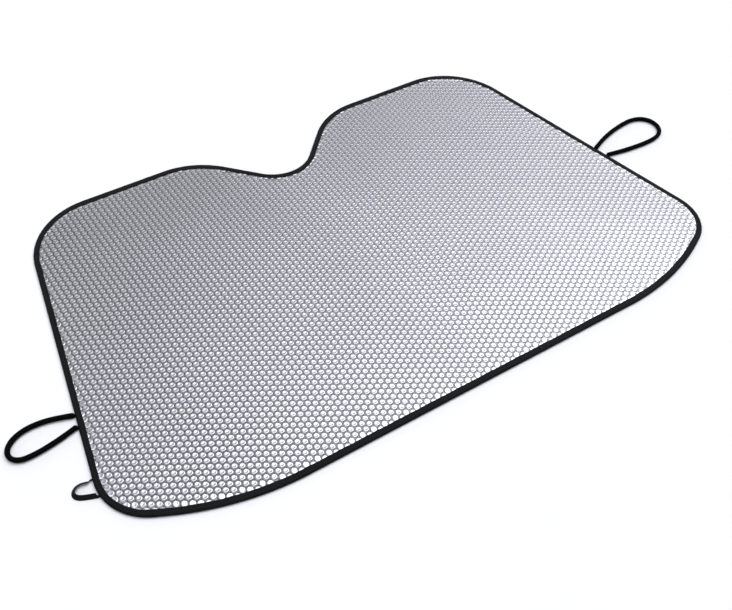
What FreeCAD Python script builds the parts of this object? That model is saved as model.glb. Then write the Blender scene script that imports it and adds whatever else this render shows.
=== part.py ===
import FreeCAD, Part
import math
import os

import Sketcher

# Folding windscreen sunshade: a bubbled foil panel, bound round its edge with tape, with an elastic
# cord loop on each side and a short hanging strap. Millimetres, +Z up, +X to the right along the long
# edge, +Y from the lower edge to the mirror notch. The origin is on the fold line, in the middle of
# the lower binding lip, on the plane that the shade rests on.

DRIVING_SIZES = [
    # alias, value
    ("overall_width", 1300.0),
    ("overall_depth", 774.0),
    ("notch_depth", 130.0),
    ("notch_radius", 80.0),
    ("shoulder_offset", 229.0),
    ("shoulder_radius", 162.0),
    ("top_corner_offset", 401.0),
    ("top_corner_radius", 150.0),
    ("foot_corner_rise", 146.0),
    ("foot_corner_radius", 95.0),
    ("knee_offset", 351.0),
    ("knee_radius", 527.0),
    ("fold_gap", 0.3),
    ("edge_thickness", 6.0),
    ("edge_rounding", 2.4),
    ("tape_thickness", 0.9),
    ("lip_width", 11.0),
    ("layer_setback", 6.0),
    ("field_setback", 11.4),
    ("back_film_thickness", 0.2),
    ("core_thickness", 2.4),
    ("flange_thickness", 1.6),
    ("bubble_thickness", 2.7),
    ("seam_setback", 5.1),
    ("thread_width", 0.8),
    ("thread_depth", 0.35),
    ("cord_diameter", 9.0),
    ("cord_end_diameter", 4.0),
    ("root_clearance", 0.3),
    ("strap_root_reach", 3.3),
    ("strap_width", 9.0),
    ("strap_root_width", 5.8),
    ("strap_thickness", 1.2),
    ("strap_gather", 16.0),
    ("strap_neck", 4.5),
]

PAST_FOLD = 2.0       # how far a cutting outline runs past the fold line
STRAP_REACH = 60.0    # a shaping block's reach round the strap

# Route of each elastic loop, on the resting plane: first and last points are its two roots.
LEFT_LOOP_ROUTE = [
    (-625.4, 294.5), (-650.0, 303.5), (-677.0, 308.5), (-703.0, 308.0), (-725.5, 299.5),
    (-740.5, 284.0), (-741.0, 266.5), (-728.0, 255.0), (-703.0, 254.5), (-677.5, 258.0),
    (-653.0, 262.8), (-630.6, 269.0),
]
RIGHT_LOOP_ROUTE = [
    (609.1, 374.0), (634.0, 385.0), (661.0, 394.0), (690.0, 401.0), (719.0, 405.5),
    (746.0, 406.0), (767.0, 398.0), (780.0, 381.0), (780.0, 358.0), (767.0, 340.5),
    (745.0, 332.0), (714.0, 330.5), (678.0, 333.0), (645.0, 336.8), (615.6, 342.5),
]
# Route of the hanging strap's tape, seen from above.
STRAP_ROUTE = [
    (-650.1, 166.2), (-663.0, 171.0), (-676.0, 169.5), (-686.0, 159.5), (-685.5, 147.0),
    (-673.0, 137.5), (-652.9, 131.2),
]


def new_sheet(doc):
    """The driving dimensions, one row each: name and value."""
    sheet = doc.addObject("Spreadsheet::Sheet", "Sizes")
    for row, (alias, value) in enumerate(DRIVING_SIZES, start=1):
        sheet.set(f"A{row}", alias)
        sheet.set(f"B{row}", str(value))
        sheet.setAlias(f"B{row}", alias)
    doc.recompute()
    return sheet


# ---------------------------------------------------------------- outline

def outline_circles(sheet, inset):
    """Centre, radius and turning sense of the arcs of the right half outline, from notch to lower edge.

    The sense is +1 where the outline turns left (the notch) and -1 where it turns right.
    An inset outline keeps the centres, so each radius alone takes up the inset.
    """
    low = -sheet.lip_width / 2
    high = low + sheet.overall_depth
    centres = [
        (0.0, high - sheet.notch_depth + sheet.notch_radius),
        (sheet.shoulder_offset, high - sheet.shoulder_radius),
        (sheet.top_corner_offset, high - sheet.top_corner_radius),
        (sheet.overall_width / 2 - sheet.foot_corner_radius, low + sheet.foot_corner_rise),
        (sheet.knee_offset, low + sheet.knee_radius),
    ]
    radii = [
        sheet.notch_radius + inset,
        sheet.shoulder_radius - inset,
        sheet.top_corner_radius - inset,
        sheet.foot_corner_radius - inset,
        sheet.knee_radius - inset,
    ]
    senses = [1, -1, -1, -1, -1]
    return centres, radii, senses


CENTRE_FORMULAS = [
    ("0 mm", "Sizes.overall_depth - Sizes.lip_width / 2 - Sizes.notch_depth + Sizes.notch_radius"),
    ("Sizes.shoulder_offset", "Sizes.overall_depth - Sizes.lip_width / 2 - Sizes.shoulder_radius"),
    ("Sizes.top_corner_offset", "Sizes.overall_depth - Sizes.lip_width / 2 - Sizes.top_corner_radius"),
    ("Sizes.overall_width / 2 - Sizes.foot_corner_radius", "Sizes.foot_corner_rise - Sizes.lip_width / 2"),
    ("Sizes.knee_offset", "Sizes.knee_radius - Sizes.lip_width / 2"),
]
RADIUS_FORMULAS = [
    "Sizes.notch_radius + ({inset})",
    "Sizes.shoulder_radius - ({inset})",
    "Sizes.top_corner_radius - ({inset})",
    "Sizes.foot_corner_radius - ({inset})",
    "Sizes.knee_radius - ({inset})",
]


def tangent_heading(first, second):
    """Heading of the straight line that leaves one circle and joins the next, tangent to both."""
    (x1, y1), r1, s1 = first
    (x2, y2), r2, s2 = second
    apart = math.hypot(x2 - x1, y2 - y1)
    return math.atan2(y2 - y1, x2 - x1) - math.asin((s2 * r2 - s1 * r1) / apart)


def contact_point(circle, heading):
    """Where a line with this heading touches the circle."""
    (x, y), radius, sense = circle
    return FreeCAD.Vector(x + sense * radius * math.sin(heading), y - sense * radius * math.cos(heading), 0)


def draw_half_outline(sketch, sheet, inset, inset_formula, fold_x, fold_formula):
    """Right half of the outline as a closed wire: five arcs, five lines and the line at the fold."""
    centres, radii, senses = outline_circles(sheet, inset)
    circles = list(zip(centres, radii, senses))
    headings = [tangent_heading(a, b) for a, b in zip(circles, circles[1:])]
    headings.append(-math.pi)

    notch_centre, notch_radius = centres[0], radii[0]
    sag = math.sqrt(notch_radius ** 2 - fold_x ** 2)
    start = FreeCAD.Vector(fold_x, notch_centre[1] - sag, 0)
    finish = FreeCAD.Vector(fold_x, centres[-1][1] - radii[-1], 0)
    arrive = start
    arcs, lines = [], []
    for index, circle in enumerate(circles):
        leave = contact_point(circle, headings[index])
        centre = FreeCAD.Vector(*circle[0], 0)
        full = Part.Circle(centre, FreeCAD.Vector(0, 0, 1), circle[1])
        if circle[2] > 0:
            ends = (full.parameter(arrive), full.parameter(leave))
        else:
            ends = (full.parameter(leave), full.parameter(arrive))
        arcs.append(sketch.addGeometry(Part.ArcOfCircle(full, *ends), False))
        last = index == len(circles) - 1
        target = finish if last else contact_point(circles[index + 1], headings[index])
        lines.append(sketch.addGeometry(Part.LineSegment(leave, target), False))
        arrive = target
    closing = sketch.addGeometry(Part.LineSegment(finish, start), False)

    # 1 is a curve's start point, 2 its end and 3 its centre. An arc's start is its clockwise end.
    for index, sense in enumerate(senses):
        leaving = 2 if sense > 0 else 1
        arriving = 1 if sense > 0 else 2
        sketch.addConstraint(Sketcher.Constraint("Tangent", arcs[index], leaving, lines[index], 1))
        if index:
            sketch.addConstraint(Sketcher.Constraint("Tangent", lines[index - 1], 2, arcs[index], arriving))
    sketch.addConstraint(Sketcher.Constraint("Coincident", lines[-1], 2, closing, 1))
    sketch.addConstraint(Sketcher.Constraint("Coincident", closing, 2, arcs[0], 1))
    sketch.addConstraint(Sketcher.Constraint("Horizontal", lines[-1]))
    sketch.addConstraint(Sketcher.Constraint("Vertical", closing))

    def drive(constraint, formula):
        number = sketch.addConstraint(constraint)
        sketch.setExpression(f"Constraints[{number}]", formula)

    drive(Sketcher.Constraint("DistanceX", -1, 1, closing, 1, fold_x), fold_formula)
    for index, arc in enumerate(arcs):
        x, y = centres[index]
        x_formula, y_formula = CENTRE_FORMULAS[index]
        if index == 0:
            sketch.addConstraint(Sketcher.Constraint("PointOnObject", arc, 3, -2))
        else:
            drive(Sketcher.Constraint("DistanceX", -1, 1, arc, 3, x), x_formula)
        drive(Sketcher.Constraint("DistanceY", -1, 1, arc, 3, y), y_formula)
        radius_formula = RADIUS_FORMULAS[index].format(inset=inset_formula)
        drive(Sketcher.Constraint("Radius", arc, radii[index]), radius_formula)


def outline_sketch(doc, sheet, body, name, inset_formula, level_formula, past_fold=False):
    """A half-outline sketch in a body, on a plane at the given height."""
    sketch = body.newObject("Sketcher::SketchObject", name)
    plane = [feature for feature in body.Origin.OriginFeatures if feature.Role == "XY_Plane"][0]
    sketch.AttachmentSupport = [(plane, "")]
    sketch.MapMode = "FlatFace"
    sketch.setExpression("AttachmentOffset.Base.z", level_formula)
    inset = float(sheet.evalExpression(inset_formula.replace("Sizes.", "")))
    if past_fold:
        draw_half_outline(sketch, sheet, inset, inset_formula, -PAST_FOLD, f"-{PAST_FOLD} mm")
    else:
        draw_half_outline(sketch, sheet, inset, inset_formula, sheet.fold_gap / 2, "Sizes.fold_gap / 2")
    doc.recompute()
    return sketch


def add_pad(doc, body, sketch, thickness_formula):
    pad = body.newObject("PartDesign::Pad", f"{body.Name}_pad")
    pad.Profile = sketch
    pad.setExpression("Length", thickness_formula)
    doc.recompute()
    return pad


def add_pocket(doc, body, sketch, depth_formula):
    """Cut downwards from the sketch, and make sure that the cut took something away."""
    before = body.Shape.Volume
    pocket = body.newObject("PartDesign::Pocket", f"{body.Name}_pocket")
    pocket.Profile = sketch
    pocket.setExpression("Length", depth_formula)
    doc.recompute()
    if body.Shape.Volume >= before:
        raise RuntimeError(f"{body.Label}: a pocket cuts nothing")
    return pocket


def new_body(doc, label):
    body = doc.addObject("PartDesign::Body", label)
    body.Label = label
    return body


# ---------------------------------------------------------------- panel layers, right half

BACK_LEVEL = "Sizes.tape_thickness"
CORE_LEVEL = f"{BACK_LEVEL} + Sizes.back_film_thickness"
FILM_LEVEL = f"{CORE_LEVEL} + Sizes.core_thickness"


def back_film(doc, sheet):
    body = new_body(doc, "back_film_right")
    sketch = outline_sketch(doc, sheet, body, "back_film_outline", "Sizes.layer_setback", BACK_LEVEL)
    add_pad(doc, body, sketch, "Sizes.back_film_thickness")
    return body


def foam_core(doc, sheet):
    body = new_body(doc, "foam_core_right")
    sketch = outline_sketch(doc, sheet, body, "foam_core_outline", "Sizes.layer_setback", CORE_LEVEL)
    add_pad(doc, body, sketch, "Sizes.core_thickness")
    return body


def face_film(doc, sheet):
    """Bubbled foil: a flange pressed flat under the binding, and the bubble field inside it."""
    body = new_body(doc, "face_film_right")
    flange = outline_sketch(doc, sheet, body, "flange_outline", "Sizes.layer_setback", FILM_LEVEL)
    add_pad(doc, body, flange, "Sizes.flange_thickness")
    field = outline_sketch(doc, sheet, body, "field_outline", "Sizes.field_setback", FILM_LEVEL)
    add_pad(doc, body, field, "Sizes.bubble_thickness")
    return body


def thread(doc, sheet, label, level_formula):
    """One thread of the lockstitch seam, as a band let into a lip of the binding."""
    body = new_body(doc, label)
    outer = outline_sketch(doc, sheet, body, f"{label}_outer", "Sizes.seam_setback", level_formula)
    add_pad(doc, body, outer, "Sizes.thread_depth")
    inner_inset = "Sizes.seam_setback + Sizes.thread_width"
    top = f"{level_formula} + Sizes.thread_depth"
    inner = outline_sketch(doc, sheet, body, f"{label}_inner", inner_inset, top, past_fold=True)
    add_pocket(doc, body, inner, "Sizes.thread_depth")
    return body


def binding_blank(doc, sheet):
    """Tape folded round the edge: two lips and a rounded outer wall, hollow between the lips."""
    body = new_body(doc, "binding_blank_right")
    outer = outline_sketch(doc, sheet, body, "binding_outer", "0", "0")
    pad = add_pad(doc, body, outer, "Sizes.edge_thickness")

    on_fold = sheet.fold_gap / 2 + 0.01
    levels = (0.0, sheet.edge_thickness)
    rounded = []
    for number, edge in enumerate(pad.Shape.Edges, start=1):
        box = edge.BoundBox
        flat = box.ZLength < 0.01 and min(abs(box.ZMin - level) for level in levels) < 0.01
        if flat and box.XMax > on_fold:
            rounded.append(f"Edge{number}")
    fillet = body.newObject("PartDesign::Fillet", "binding_rounding")
    fillet.Base = (pad, rounded)
    fillet.setExpression("Radius", "Sizes.edge_rounding")
    doc.recompute()

    window = outline_sketch(
        doc, sheet, body, "binding_window", "Sizes.lip_width", "Sizes.edge_thickness", past_fold=True
    )
    add_pocket(doc, body, window, "Sizes.edge_thickness")
    channel = outline_sketch(
        doc, sheet, body, "binding_channel", "Sizes.tape_thickness",
        "Sizes.edge_thickness - Sizes.tape_thickness", past_fold=True,
    )
    add_pocket(doc, body, channel, "Sizes.edge_thickness - 2 * Sizes.tape_thickness")
    return body


def mirrored(doc, source, label):
    """The left-hand twin of a right-hand piece."""
    twin = doc.addObject("Part::Mirroring", label)
    twin.Label = label
    twin.Source = source
    twin.Normal = FreeCAD.Vector(1, 0, 0)
    twin.Base = FreeCAD.Vector(0, 0, 0)
    doc.recompute()
    return twin


def seated_binding(doc, label, blank, let_in):
    """The binding with room cut for the threads and cord ends that sit in it."""
    tools = doc.addObject("Part::Compound", f"{label}_tools")
    tools.Links = let_in
    cut = doc.addObject("Part::Cut", label)
    cut.Label = label
    cut.Base = blank
    cut.Tool = tools
    doc.recompute()
    return cut


# ---------------------------------------------------------------- cords and strap

def rounded_route(points, height, name):
    """Straight runs joined by tangent arcs, each as large as its two runs allow."""
    corners = [FreeCAD.Vector(x, y, height) for x, y in points]
    edges, radii = [], []
    arrive = corners[0]
    for before, corner, after in zip(corners, corners[1:], corners[2:]):
        into = (corner - before).normalize()
        out = (after - corner).normalize()
        half_turn = into.getAngle(out) / 2
        shorter = min(before.distanceToPoint(corner), corner.distanceToPoint(after))
        trim = 0.45 * shorter
        radius = trim / math.tan(half_turn)
        radii.append(radius)
        begin = corner - into * trim
        end = corner + out * trim
        inward = (out - into).normalize()
        middle = corner + inward * (radius / math.cos(half_turn) - radius)
        edges.append(Part.LineSegment(arrive, begin).toShape())
        edges.append(Part.Arc(begin, middle, end).toShape())
        arrive = end
    edges.append(Part.LineSegment(arrive, corners[-1]).toShape())
    print(f"{name}: bend radii " + ", ".join(f"{radius:.0f}" for radius in radii) + " mm")
    return Part.Wire(edges)


def elastic_loop(doc, sheet, label, route):
    """A round cord lying from root to root, with a ball end on the hinge line at each root."""
    radius = sheet.cord_diameter / 2
    path = rounded_route(route, radius, label)
    start = path.Edges[0].Vertexes[0].Point
    heading = path.Edges[0].tangentAt(path.Edges[0].FirstParameter)
    section = Part.Wire(Part.makeCircle(radius, start, heading))
    tube = path.makePipeShell([section], True, False)
    expected = math.pi * radius ** 2 * path.Length
    print(f"{label}: length {path.Length:.1f} mm, volume {tube.Volume:.0f} of {expected:.0f} mm3")
    shape = tube
    for x, y in (route[0], route[-1]):
        ball = Part.makeSphere(radius, FreeCAD.Vector(x, y, radius))
        shape = shape.fuse(ball)
    return add_feature(doc, label, shape.removeSplitter())


def add_feature(doc, label, shape):
    feature = doc.addObject("Part::Feature", label)
    feature.Label = label
    feature.Shape = shape
    return feature


def outward_at(sheet, root, side):
    """Unit vector square to the outline's nearest arc or side line, pointing out, at a root."""
    centres, radii, senses = outline_circles(sheet, 0.0)
    circles = list(zip(centres, radii, senses))
    heading = tangent_heading(circles[2], circles[3])
    tangent = contact_point(circles[3], heading)
    if root[1] >= tangent.y:
        return FreeCAD.Vector(-side * math.sin(heading), math.cos(heading), 0)
    centre = FreeCAD.Vector(side * centres[3][0], centres[3][1], 0)
    return (FreeCAD.Vector(root[0], root[1], 0) - centre).normalize()


def cord_ends(doc, sheet, label, route, side):
    """The two sewn-in ends of an elastic loop, pressed thin where they pass through the binding."""
    height = sheet.edge_thickness / 2
    reach = sheet.cord_diameter / 2 + sheet.root_clearance
    inner = sheet.layer_setback - sheet.root_clearance
    ends = []
    for root in (route[0], route[-1]):
        outward = outward_at(sheet, root, side)
        wall = FreeCAD.Vector(root[0], root[1], height) - outward * reach
        ends.append(Part.makeCylinder(sheet.cord_end_diameter / 2, inner, wall, outward * -1))
    return add_feature(doc, label, Part.makeCompound(ends))


def strap_ends(doc, sheet, label, route, side):
    """The two sewn-in ends of the strap's tape, standing between the lips of the binding."""
    length = sheet.layer_setback - sheet.root_clearance
    height = sheet.cord_end_diameter
    ends = []
    for root in (route[0], route[-1]):
        outward = outward_at(sheet, root, side)
        wall = FreeCAD.Vector(root[0], root[1], sheet.edge_thickness / 2) - outward * sheet.strap_root_reach
        end = Part.makeBox(length, sheet.strap_thickness, height)
        end.translate(FreeCAD.Vector(0, -sheet.strap_thickness / 2, -height / 2))
        turn = FreeCAD.Rotation(FreeCAD.Vector(1, 0, 0), outward * -1)
        end.Placement = FreeCAD.Placement(wall, turn).multiply(end.Placement)
        ends.append(end)
    return add_feature(doc, label, Part.makeCompound(ends))


def hanging_strap(doc, sheet, label, route):
    """Tape standing on its edge round a short loop, gathered to the binding's depth at its roots."""
    path = rounded_route(route, 0.0, label)
    start = path.Edges[0].Vertexes[0].Point
    heading = path.Edges[0].tangentAt(path.Edges[0].FirstParameter)
    across = FreeCAD.Vector(-heading.y, heading.x, 0) * (sheet.strap_thickness / 2)
    rise = FreeCAD.Vector(0, 0, sheet.strap_width)
    corners = [start - across, start + across, start + across + rise, start - across + rise]
    section = Part.makePolygon(corners + corners[:1])
    tape = path.makePipeShell([section], True, False)

    upper, lower = FreeCAD.Vector(*route[0], 0), FreeCAD.Vector(*route[-1], 0)
    along = (upper - lower).normalize()
    outward = FreeCAD.Vector(-along.y, along.x, 0)
    low = sheet.edge_thickness / 2 - sheet.strap_root_width / 2
    high = sheet.edge_thickness / 2 + sheet.strap_root_width / 2
    profile = [
        (0.0, low), (sheet.strap_neck, low), (sheet.strap_gather, 0.0), (STRAP_REACH, 0.0),
        (STRAP_REACH, sheet.strap_width), (sheet.strap_gather, sheet.strap_width),
        (sheet.strap_neck, high), (0.0, high),
    ]
    base = (upper + lower) / 2 - along * STRAP_REACH
    outline = [base + outward * reach + FreeCAD.Vector(0, 0, level) for reach, level in profile]
    block = Part.Face(Part.makePolygon(outline + outline[:1])).extrude(along * (2 * STRAP_REACH))
    shape = tape.common(block)
    print(f"{label}: tape length {path.Length:.1f} mm")
    return add_feature(doc, label, shape)


# ---------------------------------------------------------------- assembly

def build(doc):
    sheet = new_sheet(doc)
    right = {
        "back_film": back_film(doc, sheet),
        "foam_core": foam_core(doc, sheet),
        "face_film": face_film(doc, sheet),
        "needle_thread": thread(doc, sheet, "needle_thread_right", "Sizes.edge_thickness - Sizes.thread_depth"),
        "bobbin_thread": thread(doc, sheet, "bobbin_thread_right", "0"),
    }
    left = {name: mirrored(doc, piece, f"{name}_left") for name, piece in right.items()}
    blank = binding_blank(doc, sheet)
    blank_left = mirrored(doc, blank, "binding_blank_left")

    left_ends = cord_ends(doc, sheet, "left_loop_ends", LEFT_LOOP_ROUTE, -1)
    right_ends = cord_ends(doc, sheet, "right_loop_ends", RIGHT_LOOP_ROUTE, 1)
    tape_ends = strap_ends(doc, sheet, "strap_ends", STRAP_ROUTE, -1)
    threads_left = [left["needle_thread"], left["bobbin_thread"]]
    threads_right = [right["needle_thread"], right["bobbin_thread"]]
    bindings = [
        seated_binding(doc, "binding_left", blank_left, threads_left + [left_ends, tape_ends]),
        seated_binding(doc, "binding_right", blank, threads_right + [right_ends]),
    ]
    flexible = [
        elastic_loop(doc, sheet, "left_loop", LEFT_LOOP_ROUTE),
        elastic_loop(doc, sheet, "right_loop", RIGHT_LOOP_ROUTE),
        hanging_strap(doc, sheet, "hanging_strap", STRAP_ROUTE),
    ]
    doc.recompute()
    return [*right.values(), *left.values(), *bindings, left_ends, right_ends, tape_ends, *flexible]


def check(doc, pieces):
    for item in doc.Objects:
        if "Invalid" in item.State or "Error" in item.State:
            raise RuntimeError(f"{item.Label} failed: {item.State}")
    for piece in pieces:
        if piece.Shape.isNull() or not piece.Shape.isValid():
            raise RuntimeError(f"{piece.Label}: its shape is empty or not valid")
        if not piece.Shape.Solids:
            raise RuntimeError(f"{piece.Label}: no solid")


def main():
    doc = FreeCAD.newDocument("windscreen_sunshade")
    pieces = build(doc)
    check(doc, pieces)
    os.makedirs("parts", exist_ok=True)
    for piece in pieces:
        piece.Shape.exportStep(f"parts/{piece.Label}.step")
        solids = len(piece.Shape.Solids)
        print(f"{piece.Label}: {solids} solid(s), {piece.Shape.Volume / 1000:.2f} cm3")


main()
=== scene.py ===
"""Folding windscreen sunshade on a pale studio floor. Everything is in metres, in the CAD frame."""
import math

import bmesh
import bpy
import numpy as np
from mathutils import Matrix, Vector
from mathutils.geometry import delaunay_2d_cdt


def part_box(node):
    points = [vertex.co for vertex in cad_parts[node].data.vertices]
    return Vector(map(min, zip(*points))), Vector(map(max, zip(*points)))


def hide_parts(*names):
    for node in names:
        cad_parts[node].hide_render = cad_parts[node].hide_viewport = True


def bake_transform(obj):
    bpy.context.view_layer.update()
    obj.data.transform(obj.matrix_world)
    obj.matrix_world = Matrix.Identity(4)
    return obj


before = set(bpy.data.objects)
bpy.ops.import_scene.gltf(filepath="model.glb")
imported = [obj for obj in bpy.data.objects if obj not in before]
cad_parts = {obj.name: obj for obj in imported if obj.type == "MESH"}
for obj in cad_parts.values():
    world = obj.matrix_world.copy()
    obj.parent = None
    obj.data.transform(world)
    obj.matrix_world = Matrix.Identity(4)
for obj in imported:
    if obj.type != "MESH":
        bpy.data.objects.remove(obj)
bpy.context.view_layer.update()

MM = 0.001
TAU = 2 * math.pi
scene = bpy.context.scene
rng = np.random.default_rng(11)

# ---------------------------------------------------------------- sizes from the frame

BIND_LO, BIND_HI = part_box("binding_right")
HALF_WIDTH = BIND_HI.x / MM
LOW_Y, HIGH_Y = BIND_LO.y / MM, BIND_HI.y / MM
CORE_LO, CORE_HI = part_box("foam_core_right")
CORE_BOTTOM, CORE_TOP = CORE_LO.z / MM, CORE_HI.z / MM
FILM_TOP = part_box("face_film_right")[1].z / MM  # crests of the bubbles
BACK_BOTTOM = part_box("back_film_right")[0].z / MM
LAYER_INSET = HALF_WIDTH - CORE_HI.x / MM       # the layers' edge lies this far inside the outline
SEAM_INSET = 5.5                                # stitch line, mm inside the outline

# The right half outline, mm: the notch, the shoulder beside it, both corners and the lower edge's long curve.
NOTCH_DEPTH, NOTCH_RADIUS = 130.0, 80.0
SHOULDER_X, SHOULDER_RADIUS = 229.0, 162.0
UPPER_CORNER_X, UPPER_CORNER_RADIUS = 401.0, 150.0
LOWER_CORNER_HEIGHT, LOWER_CORNER_RADIUS = 146.0, 95.0
KNEE_X, KNEE_RADIUS = 351.0, 527.0

# Its arcs, from the notch to the lower edge: centre, radius, turning sense.
ARCS = [
    ((0.0, HIGH_Y - NOTCH_DEPTH + NOTCH_RADIUS), NOTCH_RADIUS, 1),
    ((SHOULDER_X, HIGH_Y - SHOULDER_RADIUS), SHOULDER_RADIUS, -1),
    ((UPPER_CORNER_X, HIGH_Y - UPPER_CORNER_RADIUS), UPPER_CORNER_RADIUS, -1),
    ((HALF_WIDTH - LOWER_CORNER_RADIUS, LOW_Y + LOWER_CORNER_HEIGHT), LOWER_CORNER_RADIUS, -1),
    ((KNEE_X, LOW_Y + KNEE_RADIUS), KNEE_RADIUS, -1),
]


def outline_features():
    """The right half outline as arcs and straight lines.

    Each arc is (centre, radius, sense, heading in, heading out), and each line is (start, end)."""
    headings = [0.0]
    for ((x1, y1), r1, s1), ((x2, y2), r2, s2) in zip(ARCS, ARCS[1:]):
        apart = math.hypot(x2 - x1, y2 - y1)
        heading = math.atan2(y2 - y1, x2 - x1) - math.asin((s2 * r2 - s1 * r1) / apart)
        headings.append(headings[-1] + s1 * ((s1 * (heading - headings[-1])) % TAU))
    headings.append(-math.pi)
    arcs = [(np.array(c), r, s, h0, h1) for (c, r, s), h0, h1 in zip(ARCS, headings, headings[1:])]
    lines = []

    def touch(i, heading):
        (x, y), r, s = ARCS[i]
        return np.array([x + s * r * math.sin(heading), y - s * r * math.cos(heading)])

    for i in range(len(ARCS)):
        start = touch(i, headings[i + 1])
        end = touch(i + 1, headings[i + 1]) if i + 1 < len(ARCS) else np.array([0.0, LOW_Y])
        lines.append((start, end))
    return arcs, lines


ARC_FEATURES, LINE_FEATURES = outline_features()


def outline(step):
    """The whole closed outline: points about step apart, inward normals, and the distance along it, mm."""
    points, headings = [], []
    for (c, r, s, h0, h1), (a, b) in zip(ARC_FEATURES, LINE_FEATURES):
        n = max(2, int(round(r * abs(h1 - h0) / step)))
        h = np.linspace(h0, h1, n + 1)
        points.append(c + s * r * np.stack([np.sin(h), -np.cos(h)], 1))
        headings.append(h)
        n = max(1, int(round(np.linalg.norm(b - a) / step)))
        t = np.linspace(0, 1, n + 1)[1:, None]
        points.append(a + t * (b - a))
        headings.append(np.full(n, h1))
    p, h = np.concatenate(points), np.concatenate(headings)
    keep = np.r_[True, np.linalg.norm(np.diff(p, axis=0), axis=1) > 1e-6]
    p, h = p[keep], h[keep]
    n = np.stack([np.sin(h), -np.cos(h)], 1)
    left_p, left_n = p[-2:0:-1] * [-1, 1], n[-2:0:-1] * [-1, 1]
    p, n = np.concatenate([p, left_p]), np.concatenate([n, left_n])
    gaps = np.linalg.norm(np.roll(p, -1, 0) - p, axis=1)
    return p, n, np.r_[0, np.cumsum(gaps)]


def inset_of(p):
    """How far inside the outline each point lies, mm; negative outside."""
    p = np.array(p, float)
    p[:, 0] = np.abs(p[:, 0])
    best = np.full(len(p), 1e9)
    for c, r, s, h0, h1 in ARC_FEATURES:
        q = p - c
        far = np.linalg.norm(q, axis=1)
        turn = (np.arctan2(q[:, 1], q[:, 0]) + s * math.pi / 2 - (h0 + h1) / 2 + math.pi) % TAU - math.pi
        found = np.abs(turn) <= abs(h1 - h0) / 2 + 1e-6
        value = s * (far - r)
        best = np.where(found & (np.abs(value) < np.abs(best)), value, best)
    for a, b in LINE_FEATURES:
        d = b - a
        long = np.linalg.norm(d)
        if long < 1e-6:
            continue
        t = ((p - a) @ d) / long
        value = (p - a) @ np.array([d[1], -d[0]]) / long
        found = (t >= -1e-6) & (t <= long + 1e-6)
        best = np.where(found & (np.abs(value) < np.abs(best)), value, best)
    return best


def smooth(t):
    t = np.clip(t, 0, 1)
    return t * t * (3 - 2 * t)


# Low waves of the laid sheet: each one's height in mm, its radians per metre of x and of y, and its phase.
WAVES = [(0.9, 5.1, 2.6, 0.6), (0.7, -3.4, 7.9, 1.9), (0.5, 9.7, -4.2, 0.3)]
WAVE_MEAN = 3.2         # mm
WAVE_FROM_EDGE = 210    # the waves rise over this far inside the outline, mm
WAVE_FROM_FOLD = 130    # and over this far from the fold line


def lift(p, inset):
    """How far the laid sheet rises off the floor, mm.

    Along the fold line it stays down, so that the folded halves lie on each other and not in each other."""
    x, y = p[:, 0] / 1000, p[:, 1] / 1000
    wave = sum(height * np.sin(a * x + b * y + phase) for height, a, b, phase in WAVES) + WAVE_MEAN
    return wave * smooth(inset / WAVE_FROM_EDGE) * smooth(np.abs(p[:, 0]) / WAVE_FROM_FOLD)


# ---------------------------------------------------------------- mesh helpers

def mesh_piece(name, verts_mm, faces, material):
    """A smooth-shaded mesh object from points in mm. Faces are arrays of index rows, one per face size."""
    mesh = bpy.data.meshes.new(name)
    blocks = [np.asarray(f, np.int32) for f in faces]
    corners = np.concatenate([b.ravel() for b in blocks])
    sizes = np.concatenate([np.full(len(b), b.shape[1], np.int32) for b in blocks])
    mesh.vertices.add(len(verts_mm))
    mesh.vertices.foreach_set("co", (np.asarray(verts_mm) * MM).astype(np.float32).ravel())
    mesh.loops.add(len(corners))
    mesh.loops.foreach_set("vertex_index", corners)
    mesh.polygons.add(len(sizes))
    mesh.polygons.foreach_set("loop_start", np.r_[0, np.cumsum(sizes)[:-1]].astype(np.int32))
    mesh.polygons.foreach_set("use_smooth", np.full(len(sizes), True))
    mesh.update(calc_edges=True)
    mesh.validate()
    obj = bpy.data.objects.new(name, mesh)
    scene.collection.objects.link(obj)
    mesh.materials.append(material)
    return obj


def corner_attribute(obj, name, values):
    """A number on each face corner, in the order of the mesh's loops."""
    attribute = obj.data.attributes.new(name, "FLOAT", "CORNER")
    attribute.data.foreach_set("value", np.asarray(values, np.float32).ravel())


def ring_quads(rings, around, closed_along=False):
    """Quads between rings of `around` points; the rings close along too if asked."""
    i = np.arange(rings if closed_along else rings - 1)[:, None]
    j = np.arange(around)[None, :]
    a = i * around + j
    b = i * around + (j + 1) % around
    up = ((i + 1) % rings) * around
    return np.stack([a, b, up + (j + 1) % around, up + j], -1).reshape(-1, 4)


# ---------------------------------------------------------------- material helpers

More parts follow.
